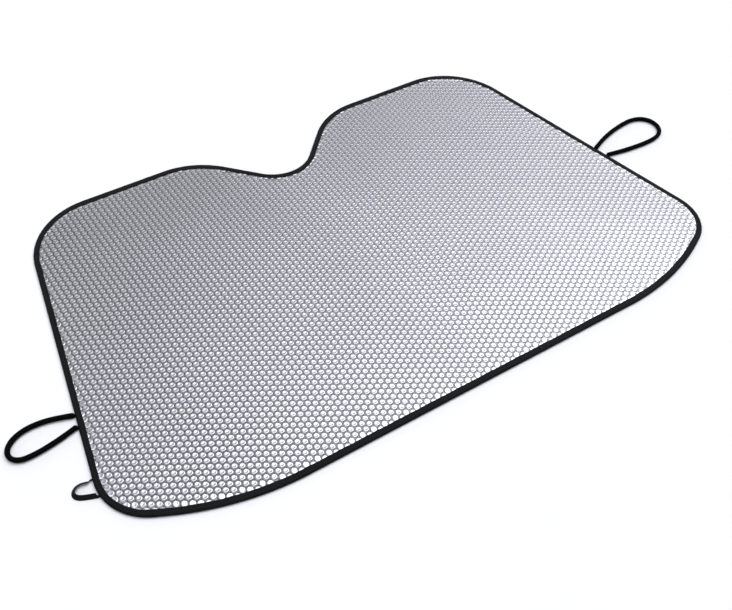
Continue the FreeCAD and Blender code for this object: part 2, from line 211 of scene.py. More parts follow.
class Nodes:
    """Short names for building a node tree."""

    def __init__(self, name):
        self.material = bpy.data.materials.new(name)
        self.material.use_nodes = True
        self.tree = self.material.node_tree
        self.shader = self.tree.nodes["Principled BSDF"]

    def add(self, kind, **settings):
        node = self.tree.nodes.new(kind)
        for key, value in settings.items():
            if key.startswith("in_"):
                node.inputs[key[3:].replace("_", " ")].default_value = value
            else:
                setattr(node, key, value)
        return node

    def link(self, a, b):
        self.tree.links.new(a, b)

    def math(self, operation, a, b=None, c=None):
        node = self.add("ShaderNodeMath", operation=operation)
        for socket, value in zip(node.inputs, (a, b, c)):
            if value is None:
                continue
            if isinstance(value, (int, float)):
                socket.default_value = value
            else:
                self.link(value, socket)
        return node.outputs[0]

    def ramp(self, value, stops):
        node = self.add("ShaderNodeValToRGB")
        while len(node.color_ramp.elements) < len(stops):
            node.color_ramp.elements.new(0.5)
        for element, (at, colour) in zip(node.color_ramp.elements, stops):
            element.position = at
            element.color = (*colour, 1)
        self.link(value, node.inputs["Fac"])
        return node.outputs["Color"]

    def noise(self, scale, detail=2.0, rough=0.5):
        node = self.add("ShaderNodeTexNoise", in_Scale=scale, in_Detail=detail, in_Roughness=rough)
        self.link(self.object_coords(), node.inputs["Vector"])
        return node.outputs["Fac"]

    def object_coords(self):
        if not hasattr(self, "coords"):
            self.coords = self.add("ShaderNodeTexCoord").outputs["Object"]
        return self.coords

    def attribute(self, name):
        return self.add("ShaderNodeAttribute", attribute_name=name).outputs["Fac"]

    def map_range(self, value, low, high):
        node = self.add("ShaderNodeMapRange")
        node.inputs["To Min"].default_value = low
        node.inputs["To Max"].default_value = high
        self.link(value, node.inputs["Value"])
        return node.outputs["Result"]

    def bump(self, height, strength, distance):
        node = self.add("ShaderNodeBump", in_Strength=strength, in_Distance=distance)
        self.link(height, node.inputs["Height"])
        return node.outputs["Normal"]

    def set(self, **values):
        for key, value in values.items():
            socket = self.shader.inputs[key.replace("_", " ")]
            if isinstance(value, (int, float, tuple)):
                socket.default_value = value
            else:
                self.link(value, socket)


def foil_material():
    """Aluminised bubble film: soft silver, faintly blue, with a fine crinkle and scuffs.

    The valleys between the bubbles carry painted shade, strongest toward the left end, and the film carries a
    painted reflection gradient, a little lighter toward the right end and the lower edge."""
    m = Nodes("bubble_foil")
    broad = m.noise(3.1, 3.0, 0.5)
    crinkle = m.noise(420.0, 3.0, 0.6)
    scuff = m.noise(38.0, 4.0, 0.62)
    silver = m.ramp(broad, [(0.3, (0.455, 0.459, 0.478)), (0.7, (0.492, 0.492, 0.511))])
    place = m.add("ShaderNodeSeparateXYZ")
    m.link(m.object_coords(), place.inputs["Vector"])
    rightward = m.math("MULTIPLY_ADD", place.outputs["X"], 1.05, 0.5)
    downward = m.math("MULTIPLY_ADD", place.outputs["Y"], -1.2, 0.95)
    # Painted shade: the valleys between the bubbles darkened, most toward the left end.
    painted_valley_shade = m.math("MULTIPLY", m.attribute("valley_shade"), m.map_range(rightward, 1.0, 0.06))
    # Painted reflection: the film made lighter toward the right end and the lower edge.
    painted_reflection = m.math("MULTIPLY", m.map_range(rightward, 0.93, 1.10), m.map_range(downward, 0.80, 1.24))
    shaded = m.add("ShaderNodeVectorMath", operation="SCALE")
    m.link(silver, shaded.inputs[0])
    m.link(m.math("MULTIPLY", m.math("SUBTRACT", 1.0, painted_valley_shade), painted_reflection), shaded.inputs["Scale"])
    m.set(
        Base_Color=shaded.outputs["Vector"],
        Metallic=1.0,
        Roughness=m.map_range(scuff, 0.17, 0.28),
        Normal=m.bump(crinkle, 0.12, 0.0006),
    )
    return m.material


def back_material():
    """Plain metallised back: paler and less shiny than the bubbled face."""
    m = Nodes("back_foil")
    broad = m.noise(4.0, 3.0, 0.5)
    fine = m.noise(300.0, 3.0, 0.6)
    m.set(
        Base_Color=m.ramp(broad, [(0.3, (0.66, 0.67, 0.70)), (0.7, (0.76, 0.76, 0.79))]),
        Metallic=1.0,
        Roughness=m.map_range(m.noise(30.0, 4.0), 0.30, 0.48),
        Normal=m.bump(fine, 0.2, 0.0006),
    )
    return m.material


def foam_material():
    """White closed-cell foam."""
    m = Nodes("foam")
    cells = m.add("ShaderNodeTexVoronoi", in_Scale=900.0)
    m.link(m.object_coords(), cells.inputs["Vector"])
    m.set(
        Base_Color=m.ramp(m.noise(12.0), [(0.3, (0.72, 0.73, 0.74)), (0.7, (0.82, 0.82, 0.82))]),
        Roughness=m.map_range(m.noise(80.0), 0.7, 0.85),
        Normal=m.bump(cells.outputs["Distance"], 0.5, 0.0005),
    )
    return m.material


def tape_material():
    """Black woven polyester tape: a plain weave of fine crossing ribs, with lint."""
    m = Nodes("binding_tape")
    along, across = m.attribute("along"), m.attribute("across")
    warp = m.math("SINE", m.math("MULTIPLY", along, TAU / 0.9))
    weft = m.math("SINE", m.math("MULTIPLY", across, TAU / 0.75))
    weave = m.math("ADD", m.math("MULTIPLY", warp, weft), m.math("MULTIPLY", weft, 0.6))
    lint = m.noise(260.0, 4.0, 0.7)
    wear = m.noise(26.0, 4.0, 0.6)
    tone = m.math("ADD", m.math("MULTIPLY", weave, 0.10), lint)
    m.set(
        Base_Color=m.ramp(tone, [(0.25, (0.0010, 0.0010, 0.0012)), (0.8, (0.0035, 0.0035, 0.0040))]),
        Roughness=m.map_range(wear, 0.34, 0.50),
        Normal=m.bump(weave, 0.35, 0.00012),
        Specular_IOR_Level=0.09,
    )
    return m.material


def thread_material():
    """Black twisted polyester thread."""
    m = Nodes("thread")
    twist = m.add("ShaderNodeTexWave", in_Scale=900.0, in_Distortion=1.0)
    m.link(m.object_coords(), twist.inputs["Vector"])
    m.set(
        Base_Color=m.ramp(twist.outputs["Fac"], [(0.2, (0.005, 0.005, 0.006)), (0.8, (0.016, 0.016, 0.017))]),
        Roughness=m.map_range(m.noise(500.0), 0.4, 0.6),
        Normal=m.bump(twist.outputs["Fac"], 0.4, 0.0001),
        Specular_IOR_Level=0.2,
    )
    return m.material


def cord_material():
    """Black braid, with painted shade between its strands, and a fine fuzz."""
    m = Nodes("elastic_cord")
    braid = m.attribute("braid")
    fuzz = m.noise(700.0, 3.0, 0.65)
    # Painted shade: the colour darkens where the braid dips between its strands.
    tone = m.math("ADD", m.math("MULTIPLY", braid, 0.5), m.math("MULTIPLY", fuzz, 0.5))
    m.set(
        Base_Color=m.ramp(tone, [(0.15, (0.0008, 0.0008, 0.0008)), (0.85, (0.003, 0.003, 0.003))]),
        Roughness=m.map_range(fuzz, 0.55, 0.8),
        Normal=m.bump(fuzz, 0.3, 0.0001),
        Specular_IOR_Level=0.03,
    )
    return m.material


def strap_material():
    """Black ribbed tape, with painted shade between its ribs."""
    m = Nodes("strap_tape")
    ribs = m.attribute("ribs")
    fuzz = m.noise(600.0, 3.0, 0.65)
    # Painted shade: the colour darkens in the grooves between the ribs.
    tone = m.math("ADD", m.math("MULTIPLY", ribs, 0.6), m.math("MULTIPLY", fuzz, 0.4))
    m.set(
        Base_Color=m.ramp(tone, [(0.15, (0.002, 0.002, 0.0025)), (0.85, (0.012, 0.012, 0.013))]),
        Roughness=m.map_range(fuzz, 0.5, 0.72),
        Normal=m.bump(fuzz, 0.3, 0.0001),
        Specular_IOR_Level=0.09,
    )
    return m.material


# ---------------------------------------------------------------- camera

CAMERA_PLACE = (-0.8402, -0.7637, 1.4037)
CAMERA_HEADING = (0.60267, 0.79799, 0)
CAMERA_DOWN, CAMERA_ROLL = 47.792, 4.479        # degrees
LENS, SENSOR = 50.7393, 36.0                    # mm


def make_camera():
    """The photo's view: recovered from the panel's outline and its grid of bubbles."""
    heading = Vector(CAMERA_HEADING).normalized()
    down, roll = math.radians(CAMERA_DOWN), math.radians(CAMERA_ROLL)
    forward = Vector((heading.x * math.cos(down), heading.y * math.cos(down), -math.sin(down)))
    level = forward.cross(Vector((0, 0, 1))).normalized()
    upward = level.cross(forward)
    right = level * math.cos(roll) + upward * math.sin(roll)
    up = upward * math.cos(roll) - level * math.sin(roll)
    data = bpy.data.cameras.new("camera")
    data.sensor_width = SENSOR
    data.lens = LENS
    cam = bpy.data.objects.new("camera", data)
    scene.collection.objects.link(cam)
    turn = Matrix((right, up, -forward)).transposed().to_4x4()
    cam.matrix_world = Matrix.Translation(CAMERA_PLACE) @ turn
    scene.camera = cam


make_camera()

# ---------------------------------------------------------------- cords

LEFT_ROUTE = [
    (-.6254, .2945), (-.6500, .3035), (-.6770, .3085), (-.7030, .3080), (-.7255, .2995), (-.7405, .2840),
    (-.7410, .2665), (-.7280, .2550), (-.7030, .2545), (-.6775, .2580), (-.6530, .2628), (-.6306, .2690),
]
RIGHT_ROUTE = [
    (.6091, .3740), (.6340, .3850), (.6610, .3940), (.6900, .4010), (.7190, .4055), (.7460, .4060),
    (.7670, .3980), (.7800, .3810), (.7800, .3580), (.7670, .3405), (.7450, .3320), (.7140, .3305),
    (.6780, .3330), (.6450, .3368), (.6156, .3425),
]
STRAP_ROUTE = [
    (-.6501, .1662), (-.6630, .1710), (-.6760, .1695), (-.6860, .1595), (-.6855, .1470), (-.6730, .1375),
    (-.6529, .1312),
]
CORD_RADIUS = 4.5       # mm
CORD_HEIGHT = 0.0046    # centreline above the floor, m
CORD_REACH = 6.6        # how far each end runs back into the binding, mm
STRAND_DEPTH = 0.30     # of the valleys between strands, mm
BIND_HEIGHT = 3.0       # where the sewn-in ends run through the binding, mm
TAPE_WIDTH = 9.0        # mm
TAPE_HALF_THICK = 0.55  # mm
TAPE_REACH = 4.6        # how far each end runs back into the binding, mm
UP = np.array([0, 0, 1.0])


def spline_points(route, z, step):
    """Points step apart, in mm, along the NURBS spline of these control points."""
    data = bpy.data.curves.new("route", "CURVE")
    data.dimensions = "3D"
    data.resolution_u = 24
    spline = data.splines.new("NURBS")
    spline.points.add(len(route) - 1)
    for point, (x, y) in zip(spline.points, route):
        point.co = (x, y, z, 1)
    spline.order_u = 3
    spline.use_endpoint_u = True
    carrier = bpy.data.objects.new("route", data)
    mesh = bpy.data.meshes.new_from_object(carrier)
    line = np.array([v.co for v in mesh.vertices], float) / MM
    bpy.data.meshes.remove(mesh)
    bpy.data.objects.remove(carrier)
    bpy.data.curves.remove(data)
    along = np.r_[0, np.cumsum(np.linalg.norm(np.diff(line, axis=0), axis=1))]
    at = np.linspace(0, along[-1], int(math.ceil(along[-1] / step)) + 1)
    return np.stack([np.interp(at, along, line[:, k]) for k in range(3)], 1)


def distances(line):
    """The distance along a line of points, from its first."""
    return np.r_[0, np.cumsum(np.linalg.norm(np.diff(line, axis=0), axis=1))]


def tangents(line):
    t = np.gradient(line, axis=0)
    return t / np.linalg.norm(t, axis=1)[:, None]


def elastic_loop(name, node, ends, route, outward):
    """A braided elastic cord: strands crossing in a diamond pattern round the spline.

    `outward` is the direction in which it leaves the binding."""
    step, around, strands, lay = 0.42, 60, 10, 7.6
    line = spline_points(route, CORD_HEIGHT, step)
    out3 = np.array([*outward, 0.0])
    n = int(round(CORD_REACH / step))
    back = np.arange(n, 0, -1)[:, None] * (CORD_REACH / n) * -out3
    full = np.concatenate([line[0] + back, line, line[-1] + back[::-1]])
    s = distances(full)
    # The ends dip to run through the middle of the binding, and are pinched where the seam holds them.
    ends_in = np.minimum(s, s[-1] - s)
    full[:, 2] = BIND_HEIGHT + (full[:, 2] - BIND_HEIGHT) * smooth((ends_in - 1.0) / 6.0)
    pinch = 0.62 + 0.38 * smooth((ends_in - 1.2) / 3.6)
    side = np.cross(UP, tangents(full))
    side /= np.linalg.norm(side, axis=1)[:, None]
    turn = np.arange(around) / around * TAU
    phase = s[:, None] * TAU / lay
    a, b = strands * turn[None, :] + phase, strands * turn[None, :] - phase
    braid = 0.5 + 0.5 * np.cos(a) * np.cos(b)
    slack = 1 + 0.012 * np.sin(s / 9.0 + 1.0) + 0.008 * np.sin(s / 4.1)
    radius = (CORD_RADIUS + 0.12 - STRAND_DEPTH * (1 - braid)) * slack[:, None]
    radius *= pinch[:, None]
    ring = side[:, None, :] * np.cos(turn)[None, :, None] + UP * np.sin(turn)[None, :, None]
    verts = full[:, None, :] + ring * radius[:, :, None]
    count = len(full)
    quads = ring_quads(count, around)[:, ::-1]
    caps = np.stack([np.arange(around), (count - 1) * around + np.arange(around)[::-1]])
    obj = mesh_piece(name, verts.reshape(-1, 3), [quads, caps], CORD)
    corner_attribute(obj, "braid", braid.ravel()[np.concatenate([quads.ravel(), caps.ravel()])])
    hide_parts(node, ends)
    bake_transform(obj)


CORD = cord_material()
elastic_loop("left_elastic", "left_loop", "left_loop_ends", LEFT_ROUTE, (-.980, .201))
elastic_loop("right_elastic", "right_loop", "right_loop_ends", RIGHT_ROUTE, (.980, .201))

# ---------------------------------------------------------------- hanging strap

def hanging_strap():
    """Ribbed tape on edge, narrowed where the binding holds it, leaning a little into its loop."""
    step, steps_high, rib_pitch, root_width = 0.25, 12, 1.05, 6.2
    line = spline_points(STRAP_ROUTE, 0.0, step)
    out_first, out_last = np.array([-.980, .201, 0]), np.array([-.996, -.095, 0])
    n = int(round(TAPE_REACH / step))
    back = np.arange(n, 0, -1)[:, None] * step
    full = np.concatenate([line[0] - back * out_first, line, line[-1] - back[::-1] * out_last])
    s = distances(full)
    t = tangents(full)
    inward = np.cross(UP, t)                     # to the left of travel
    if ((full.mean(0) - full) * inward).sum() < 0:
        inward = -inward
    open_out = smooth((np.minimum(s, s[-1] - s) - TAPE_REACH + 1.0) / 4.0)
    width = root_width + (TAPE_WIDTH - root_width) * open_out
    lean = np.radians(10 + 34 * open_out)
    up = inward * np.sin(lean)[:, None] + UP * np.cos(lean)[:, None]
    flat = np.cross(t, up)
    profile = []                                 # (share of width, share of thickness) round the tape
    for k in range(steps_high + 1):
        profile.append((k / steps_high, 1.0 if 0 < k < steps_high else 0.45))
    profile += [(share, -thick) for share, thick in reversed(profile)]
    ribs = 0.5 + 0.5 * np.sin(s * TAU / rib_pitch)
    around = len(profile)
    verts = np.zeros((len(full), around, 3))
    for j, (share, thick) in enumerate(profile):
        rib = 0.10 * ribs * min(1.0, min(share, 1 - share) * steps_high)
        off = flat * (thick * (TAPE_HALF_THICK + rib))[:, None]
        verts[:, j] = full + up * (0.25 + share * width)[:, None] + off
    verts[:, :, 2] = np.maximum(verts[:, :, 2], 0.05)
    quads = ring_quads(len(full), around)
    caps = np.stack([np.arange(around)[::-1], (len(full) - 1) * around + np.arange(around)])
    obj = mesh_piece("strap_ribbon", verts.reshape(-1, 3), [quads, caps], strap_material())
    rib_of = np.repeat(ribs, around)
    corner_attribute(obj, "ribs", rib_of[np.concatenate([quads.ravel(), caps.ravel()])])
    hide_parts("hanging_strap", "strap_ends")
    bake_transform(obj)


hanging_strap()

# ---------------------------------------------------------------- binding and its stitches


def both_panels(obj, slot, *nodes):
    """One piece in place of each node's two halves."""
    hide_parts(*[f"{n}_{side}" for n in nodes for side in ("left", "right")])
    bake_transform(obj)


def along_noise(s, total, terms):
    """A smooth closed wobble along the outline: (amplitude, whole waves round it, phase)."""
    return sum(a * np.sin(TAU * n * s / total + f) for a, n, f in terms)


def binding():
    """Tape folded round the edge, pressed in along its seam."""
    p, n, along = outline(3.0)
    total, s = along[-1], along[:-1]
    # The tape's section as (mm inside the outline, height): its outer face from the top lip round to the
    # lower one, and its inner face back again.
    outer = [
        (11.00, 5.42), (11.0, 5.72), (10.75, 5.95), (10.2, 6.02), (8.6, 6.05), (7.2, 6.02), (6.3, 5.93),
        (5.8, 5.78), (5.5, 5.72), (5.2, 5.78), (4.7, 5.93), (4.0, 6.02), (3.1, 6.0), (2.2, 5.85),
        (1.3, 5.47), (0.6, 4.85), (0.15, 4.0), (0.0, 3.0), (0.15, 2.0), (0.6, 1.15), (1.3, 0.53),
        (2.2, 0.15), (3.1, 0.0), (4.0, 0.0), (4.7, 0.07), (5.2, 0.22), (5.5, 0.28), (5.8, 0.22),
        (6.3, 0.07), (7.2, 0.0), (8.6, 0.0), (10.2, 0.0), (10.75, 0.05), (11.0, 0.28), (11.0, 0.58),
    ]
    inner = [
        (10.9, 0.84), (10.2, 0.9), (8.0, 0.92), (5.5, 1.0), (3.2, 1.0), (2.0, 1.35), (1.2, 2.1), (0.95, 3.0),
        (1.2, 3.9), (2.0, 4.65), (3.2, 5.0), (5.5, 5.0), (8.0, 5.08), (10.2, 5.1), (10.9, 5.16),
    ]
    section = np.array(outer + inner)
    reach = np.r_[0, np.cumsum(np.linalg.norm(np.diff(section, axis=0), axis=1))]
    width = along_noise(s, total, [(0.22, 61, 0.4), (0.16, 113, 2.0), (0.10, 201, 1.0)])
    puff = along_noise(s, total, [(0.05, 83, 0.4), (0.05, 171, 2.0), (0.03, 333, 1.0)])
    # The lips are a little wider along the long edges, and the top one is slightly puffed.
    inset, height = section[None, :, 0], section[None, :, 1]
    widening = (width + 1.6 * n[:, 1] ** 2)[:, None]
    d = inset + widening * smooth((inset - 6) / 5)
    z = height + puff[:, None] * (height > 5.2)
    verts = np.zeros((len(p), len(section), 3))
    verts[:, :, :2] = p[:, None, :] + n[:, None, :] * d[:, :, None]
    verts[:, :, 2] = z
    quads = ring_quads(len(p), len(section), closed_along=True)
    obj = mesh_piece("binding", verts.reshape(-1, 3), [quads], tape_material())
    ring = quads // len(section)
    far = along[ring]
    last = (ring == 0) & (ring.max(1) == len(p) - 1)[:, None]
    corner_attribute(obj, "along", np.where(last, total, far))
    corner_attribute(obj, "across", reach[quads % len(section)])
    both_panels(obj, "binding_tape", "binding")


STITCH_PITCH = 3.4      # mm
THREAD_RADIUS = 0.36    # mm


def stitches(name, z, above, node):
    """Lockstitches along the seam: short threads that dip into the tape at both ends.

    `above` is 1 on the tape's upper face and -1 on its lower one."""
    p, n, along = outline(0.5)
    total = along[-1]
    count = int(total / STITCH_PITCH)
    at = (np.arange(count) + 0.5) * total / count
    closed_p, closed_n = np.vstack([p, p[:1]]), np.vstack([n, n[:1]])
    x = np.stack([np.interp(at, along, closed_p[:, k]) for k in range(2)], 1)
    nn = np.stack([np.interp(at, along, closed_n[:, k]) for k in range(2)], 1)
    nn /= np.linalg.norm(nn, axis=1)[:, None]
    tt = np.stack([-nn[:, 1], nn[:, 0]], 1)
    x = x + nn * SEAM_INSET
    rings, around = 7, 8
    half = 1.42 + 0.06 * rng.standard_normal(count)
    skew = 0.05 * rng.standard_normal(count)
    turn = np.arange(around) / around * TAU
    verts = np.zeros((count, rings, around, 3))
    for i, u in enumerate(np.linspace(-1, 1, rings)):
        r = THREAD_RADIUS * math.sqrt(max(0.12, 1 - abs(u) ** 3))
        dip = -0.30 * abs(u) ** 3
        base = x + tt * (u * half)[:, None] + nn * (u * skew)[:, None]
        verts[:, i, :, :2] = base[:, None, :] + nn[:, None, :] * (r * np.cos(turn))[None, :, None]
        verts[:, i, :, 2] = z + above * (dip + r * 0.8 * np.sin(turn))[None, :]
    quads = ring_quads(rings, around)
    caps = np.stack([np.arange(around), (rings - 1) * around + np.arange(around)[::-1]])
    if above > 0:
        quads = quads[:, ::-1]
    else:
        caps = caps[:, ::-1]
    shift = (np.arange(count) * rings * around)[:, None, None]
    blocks = [(quads[None] + shift).reshape(-1, 4), (caps[None] + shift).reshape(-1, around)]
    obj = mesh_piece(name, verts.reshape(-1, 3), blocks, THREAD)
    both_panels(obj, "thread", node)


THREAD = thread_material()
binding()
stitches("needle_stitches", 5.86, 1, "needle_thread")
stitches("bobbin_stitches", 0.24, -1, "bobbin_thread")

# ---------------------------------------------------------------- layers

PITCH = 12.6                        # bubble spacing, mm
COLUMN = PITCH * math.sqrt(3) / 2
CORNER = PITCH / math.sqrt(3)       # from a cell's centre to its corners
LAND = CORE_TOP + 0.15              # film between the bubbles
FULL = FILM_TOP - LAND              # a whole bubble's height
EDGE_STEP = 4.0                     # between the points of the layers' edge
RING = 12                           # points round each ring of a cell
NO_QUADS = np.zeros((0, 4), np.int64)


def around_circle(count):
    """This many unit vectors, evenly spread round a circle."""
    angle = np.arange(count) * math.pi / (count // 2)
    return np.stack([np.cos(angle), np.sin(angle)], 1)


HEXAGON = CORNER * around_circle(6)


def lattice():
    """Cell centres out to just past the outline, mm."""
    i = np.arange(-int(HALF_WIDTH / COLUMN) - 2, int(HALF_WIDTH / COLUMN) + 3)
    j = np.arange(-2, int(HIGH_Y / PITCH) + 3)
    ii, jj = np.meshgrid(i, j, indexing="ij")
    centres = np.stack([ii * COLUMN, (jj + 0.5 * (ii % 2)) * PITCH], -1).reshape(-1, 2)
    return centres[inset_of(centres) > -CORNER]


def nearest_centre(p):
    """The lattice centre of the cell that each point lies in, and how far away it is."""
    i = np.round(p[:, 0] / COLUMN)
    best, far = None, None
    for di in (-1, 0, 1):
        col = i + di
        row = np.round(p[:, 1] / PITCH - 0.5 * (col % 2))
        c = np.stack([col * COLUMN, (row + 0.5 * (col % 2)) * PITCH], 1)
        d = np.linalg.norm(p - c, axis=1)
        if best is None:
            best, far = c, d
        else:
            closer = d < far
            best, far = np.where(closer[:, None], c, best), np.where(closer, d, far)
    return best, far


def cell_random(c):
    """A fixed random number from 0 to 1 for each cell, from its place in the lattice."""
    col = np.round(c[:, 0] / COLUMN)
    row = np.round(c[:, 1] / PITCH * 2)
    v = np.sin(col * 127.1 + row * 311.7 + 74.7) * 43758.5453
    return v - np.floor(v)


def doubled_area(points, faces):
    """Twice the signed area of each triangle, positive where it faces up."""
    a, b, c = (points[faces[:, k]] for k in range(3))
    return (b[:, 0] - a[:, 0]) * (c[:, 1] - a[:, 1]) - (b[:, 1] - a[:, 1]) * (c[:, 0] - a[:, 0])


def facing_up(points, faces):
    return np.where((doubled_area(points, faces) < 0)[:, None], faces[:, ::-1], faces)


def hundredths(points):
    """The points as whole hundredths of a millimetre, to tell which ones are the same."""
    return np.round(points * 100).astype(np.int64)


def triangulate(border, constraints, output):
    """Blender's constrained triangulation: its points, its faces, and each point's place in `border`."""
    border = [Vector(q) for q in border]
    points, _, faces, originals, _, _ = delaunay_2d_cdt(border, constraints, [], output, 1e-4)
    source = np.array([o[0] for o in originals])
    return np.array([tuple(q) for q in points]), np.array([tuple(f) for f in faces]), source


def lattice_surface(radii, edge_inset):
    """A sheet of hexagonal cells with rings of points at these radii, filled out to the edge.

    Returns points, with the edge loop first, and triangles and quads that face up."""
    second_loop, cell_gap, point_gap = 1.2, 1.6, 1.9        # mm inside the edge loop
    edge_p, edge_n, _ = outline(EDGE_STEP)
    edge = edge_p + edge_n * edge_inset
    near = edge_p + edge_n * (edge_inset + second_loop)
    centres = lattice()
    is_whole = inset_of(centres) >= edge_inset + cell_gap + CORNER
    whole, part = centres[is_whole], centres[~is_whole]
    corners = (whole[:, None] + HEXAGON).reshape(-1, 2)
    _, first, index = np.unique(hundredths(corners), axis=0, return_index=True, return_inverse=True)
    corner_xy = corners[first]
    index = index.reshape(len(whole), 6)
    rings = np.array(radii)[:, None, None] * around_circle(RING)
    cell_xy = np.concatenate([(whole[:, None, None] + rings).reshape(len(whole), -1, 2), whole[:, None]], 1)
    per = cell_xy.shape[1]
    base = len(corner_xy)
    cell = base + np.arange(len(whole)) * per
    tris, quads = [], []
    for k in range(6):
        c0, c1 = index[:, k], index[:, (k + 1) % 6]
        b0, b1, b2 = (cell + m % RING for m in (2 * k, 2 * k + 1, 2 * k + 2))
        tris += [np.stack([c0, c1, b1], 1), np.stack([c0, b1, b0], 1), np.stack([c1, b2, b1], 1)]
    for r in range(len(radii) - 1):
        for m in range(RING):
            a, b = cell + r * RING + m, cell + r * RING + (m + 1) % RING
            quads.append(np.stack([a, b, b + RING, a + RING], 1))
    innermost = cell + (len(radii) - 1) * RING
    for m in range(RING):
        tris.append(np.stack([innermost + m, innermost + (m + 1) % RING, cell + per - 1], 1))
    # The border: both loops, the free edges of the whole cells, and the points of the cut cells between.
    sides = np.sort(np.stack([index, np.roll(index, -1, 1)], -1).reshape(-1, 2), 1)
    pairs, times = np.unique(sides, axis=0, return_counts=True)
    free = pairs[times == 1]
    used = np.unique(free)
    cut_rings = (part[:, None, None] + rings).reshape(-1, 2)
    cut_points = np.concatenate([cut_rings, part, (part[:, None] + HEXAGON).reshape(-1, 2)])
    cut_points = cut_points[inset_of(cut_points) > edge_inset + point_gap]
    _, first = np.unique(hundredths(cut_points), axis=0, return_index=True)
    cut_points = cut_points[np.sort(first)]
    taken = hundredths(corner_xy[used]).tolist()
    nearby = {(a + i, b + j) for a, b in taken for i in (-1, 0, 1) for j in (-1, 0, 1)}
    cut_points = cut_points[[tuple(k) not in nearby for k in hundredths(cut_points).tolist()]]
    border = np.concatenate([edge, near, corner_xy[used], cut_points])
    n = len(edge)
    order = {u: 2 * n + i for i, u in enumerate(used)}
    constraints = [(i, (i + 1) % n) for i in range(n)] + [(order[a], order[b]) for a, b in free]
    points, faces, source = triangulate(border, constraints, 0)
    assert len(points) == len(border), "the border's triangulation added points"
    # Faces outside the edge, in whole cells or of no area are left out.
    mid = points[faces].mean(1)
    in_whole = inset_of(nearest_centre(mid)[0]) >= edge_inset + cell_gap + CORNER
    faces = source[faces[(inset_of(mid) > edge_inset - 0.02) & ~in_whole]]
    faces = faces[np.abs(doubled_area(border, faces)) > 1e-6]
    # One numbering: edge loop, second loop, all corners, all cells, cut-cell points.
    place = np.zeros(len(border), np.int64)
    place[: 2 * n] = np.arange(2 * n)
    place[2 * n: 2 * n + len(used)] = 2 * n + used
    place[2 * n + len(used):] = 2 * n + base + cell_xy.size // 2 + np.arange(len(cut_points))
    xy = np.concatenate([edge, near, corner_xy, cell_xy.reshape(-1, 2), cut_points])
    tris = np.concatenate([np.concatenate(tris) + 2 * n, place[facing_up(border, faces)]])
    return xy, tris, np.concatenate(quads) + 2 * n


def plain_surface(edge_inset):
    """A flat sheet with a point per cell, for the layers' hidden faces.

    Returns points, with the edge loop first, and triangles that face up."""
    edge_p, edge_n, _ = outline(EDGE_STEP)
    centres = lattice()
    border = np.concatenate([edge_p + edge_n * edge_inset, centres[inset_of(centres) > edge_inset + 5]])
    n = len(edge_p)
    _, faces, source = triangulate(border, [(i, (i + 1) % n) for i in range(n)], 1)
    return border, facing_up(border, source[faces])


N_EDGE = len(outline(EDGE_STEP)[0])


def closed_layer(name, upper, lower, material):
    """One closed mesh from an upper and a lower sheet with the same edge loop. Each is (xyz, tris, quads)."""
    (top, top_t, top_q), (low, low_t, low_q) = upper, lower
    shift = len(top)
    k = np.arange(N_EDGE)
    following = (k + 1) % N_EDGE
    # The loop runs clockwise seen from above, so this order faces outwards.
    wall = np.stack([k, following, shift + following, shift + k], 1)
    tris = np.concatenate([top_t, low_t[:, ::-1] + shift])
    quads = np.concatenate([top_q, low_q[:, ::-1] + shift, wall])
    return mesh_piece(name, np.vstack([top, low]), [tris, quads], material)


# A bubble's section, a steep wall, a rounded rim and a dished middle: radius, mm, and share of its height.
BUBBLE = [(0.0, 0.83), (2.4, 0.86), (3.5, 1.0), (4.6, 0.96), (5.25, 0.74), (6.15, 0.0)]
BUBBLE_R, BUBBLE_Z = zip(*BUBBLE)
EDGE_LAND = 5.0         # height of the film where the binding holds it, mm
VALLEY_R = 5.5          # the painted shade between the bubbles starts this far from a bubble's middle, mm
VALLEY_RUN = 1.15       # and reaches its full depth this much further on


def bubble_height(xy, inset):
    """The film above its land, mm. The bubbles are pressed flat under the binding and beside it."""
    centre, r = nearest_centre(xy)
    plump = 0.93 + 0.07 * cell_random(centre)
    return FULL * np.interp(r, BUBBLE_R, BUBBLE_Z) * plump * (0.12 + 0.88 * smooth((inset - 11.5) / 8.0))


def film_z(xy):
    inset = inset_of(xy)
    land = LAND + (EDGE_LAND - LAND) * (1 - smooth((inset - 9.0) / 10.0))
    return np.minimum(land + bubble_height(xy, inset), FILM_TOP + 0.05) + lift(xy, inset)


def at_height(xy, z):
    return np.column_stack([xy, z])


def face_film(border, faces):
    """The bubbled film, on a flat hidden face."""
    xy, tris, quads = lattice_surface(BUBBLE_R[:0:-1], LAYER_INSET)
    top = at_height(xy, film_z(xy))
    low = at_height(border, CORE_TOP + 0.03 + lift(border, inset_of(border)))
    obj = closed_layer("face_film", (top, tris, quads), (low, faces, NO_QUADS), foil_material())
    # Mask of the painted shade: none on the bubbles, full in the flat land between them.
    valley_shade = np.zeros(len(obj.data.vertices))
    valley_shade[: len(xy)] = smooth((nearest_centre(xy)[1] - VALLEY_R) / VALLEY_RUN)
    corner = np.zeros(len(obj.data.loops), np.int32)
    obj.data.loops.foreach_get("vertex_index", corner)
    corner_attribute(obj, "valley_shade", valley_shade[corner])
    both_panels(obj, "bubble_foil", "face_film")
    return obj


def foam_core(border, faces):
    raised = lift(border, inset_of(border))
    top = at_height(border, CORE_TOP + raised)
    low = at_height(border, CORE_BOTTOM + raised)
    obj = closed_layer("foam_core", (top, faces, NO_QUADS), (low, faces, NO_QUADS), foam_material())
    both_panels(obj, "foam", "foam_core")


